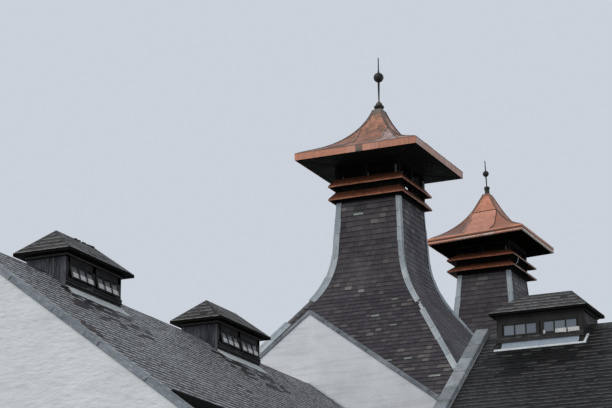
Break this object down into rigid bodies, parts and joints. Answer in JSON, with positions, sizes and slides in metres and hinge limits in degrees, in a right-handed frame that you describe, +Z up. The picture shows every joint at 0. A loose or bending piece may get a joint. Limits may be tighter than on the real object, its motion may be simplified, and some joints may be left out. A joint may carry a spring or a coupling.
{
  "type": "distillery",
  "caption": "Malt distillery: a white-walled malting range and wing with roof lanterns, and a kiln block with two flared slate spires under copper caps.",
  "frame": {"origin": "on the ground, at the middle of the foot of the gable wall between the malting range and the kilns", "axes": "+Z up, +Y north along the malting range and kilns, +X east towards the wing"},
  "size_m": [22.05, 36.06, 22.255],
  "materials": {
    "white_render": "matt, painted rough render",
    "coping_stone": "lead-grey weathered stone",
    "slate": "rough, faintly purple slate",
    "copper": "dull, stained copper sheet",
    "cap_timber": "tarred boards",
    "lantern_timber": "black painted boards, worn",
    "finial_iron": "painted iron",
    "glass": "old window glass"
  },
  "bodies": {
    "root": {"kiln_copings": "coping_stone", "kiln_east_roof": "slate", "kiln_east_wall": "white_render", "kiln_north_gable": "white_render", "kiln_south_gable": "white_render", "kiln_west_roof": "slate", "kiln_west_wall": "white_render", "lantern_glass": "glass", "long_range_coping": "coping_stone", "long_range_east_roof": "slate", "long_range_east_wall": "white_render", "long_range_lantern_1_roof": "slate", "long_range_lantern_1_walls": "lantern_timber", "long_range_lantern_2_roof": "slate", "long_range_lantern_2_walls": "lantern_timber", "long_range_snow_guard": "lantern_timber", "long_range_south_gable": "white_render", "long_range_west_roof": "slate", "long_range_west_wall": "white_render", "north_kiln_cap_eaves": "cap_timber", "north_kiln_copper_cap": "copper", "north_kiln_finial": "finial_iron", "north_kiln_spire_east": "slate", "north_kiln_spire_north": "slate", "north_kiln_spire_south": "slate", "north_kiln_spire_west": "slate", "north_kiln_vent_frame": "cap_timber", "north_kiln_vent_skirts": "copper", "south_kiln_cap_eaves": "cap_timber", "south_kiln_copper_cap": "copper", "south_kiln_finial": "finial_iron", "south_kiln_spire_east": "slate", "south_kiln_spire_north": "slate", "south_kiln_spire_south": "slate", "south_kiln_spire_west": "slate", "south_kiln_vent_frame": "cap_timber", "south_kiln_vent_skirts": "copper", "wall_glass": "glass", "wing_copings": "coping_stone", "wing_east_gable": "white_render", "wing_lantern_1_roof": "slate", "wing_lantern_1_walls": "lantern_timber", "wing_lantern_2_roof": "slate", "wing_lantern_2_walls": "lantern_timber", "wing_north_roof": "slate", "wing_north_wall": "white_render", "wing_south_roof": "slate", "wing_south_wall": "white_render", "wing_west_gable": "white_render"}
  },
  "joints": []
}
